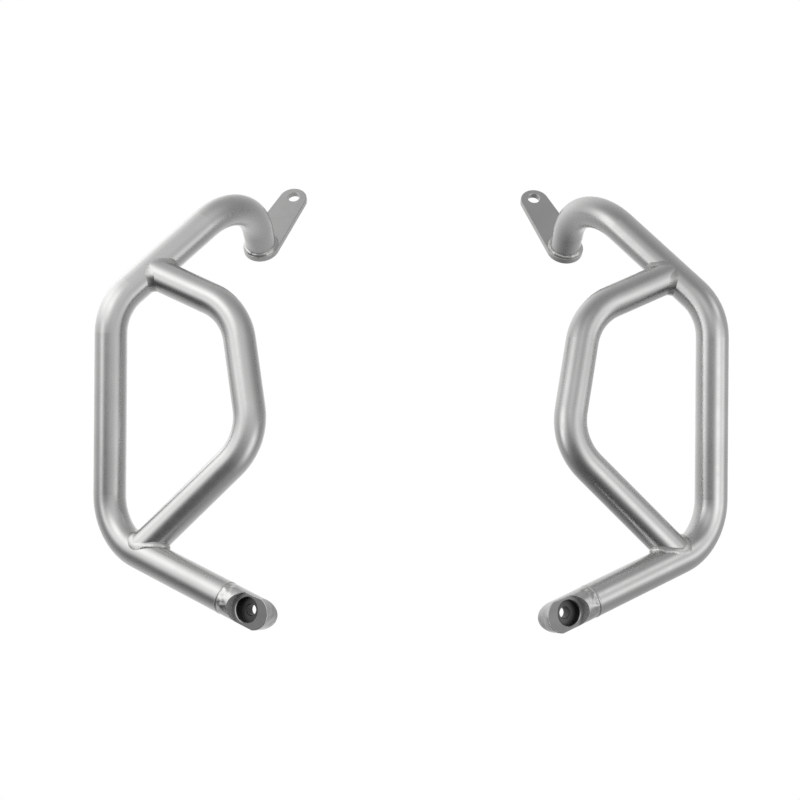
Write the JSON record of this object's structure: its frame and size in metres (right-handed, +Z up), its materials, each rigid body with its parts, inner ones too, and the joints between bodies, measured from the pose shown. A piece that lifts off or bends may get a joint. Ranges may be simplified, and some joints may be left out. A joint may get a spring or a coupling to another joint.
{
  "type": "motorcycle crash bars",
  "caption": "Mirrored motorcycle crash bars of bent satin steel tube with welded braces, flat bolt tabs at the top and counterbored bolt bosses at the foot, guarding the engine in a fall.",
  "frame": {"origin": "middle of the box round both bars as they sit on the machine", "axes": "+X across the machine towards the bar named right, +Y rearwards, +Z up"},
  "size_m": [0.4954, 0.2456, 0.3522],
  "materials": {
    "tube": "satin, bead-blasted stainless steel tube",
    "plate": "satin, cut stainless steel plate",
    "boss": "turned stainless steel with ground patches beside the seam",
    "weld": "rippled weld bead, blasted with the tubes"
  },
  "bodies": {
    "root": {"left_main_tube": "tube", "left_brace_tube": "tube", "left_mounting_tab": "plate", "left_end_boss": "boss", "left_brace_upper_weld": "weld", "left_brace_lower_weld": "weld", "left_tab_weld": "weld", "left_boss_weld": "weld", "right_main_tube": "tube", "right_brace_tube": "tube", "right_mounting_tab": "plate", "right_end_boss": "boss", "right_brace_upper_weld": "weld", "right_brace_lower_weld": "weld", "right_tab_weld": "weld", "right_boss_weld": "weld"}
  },
  "joints": []
}
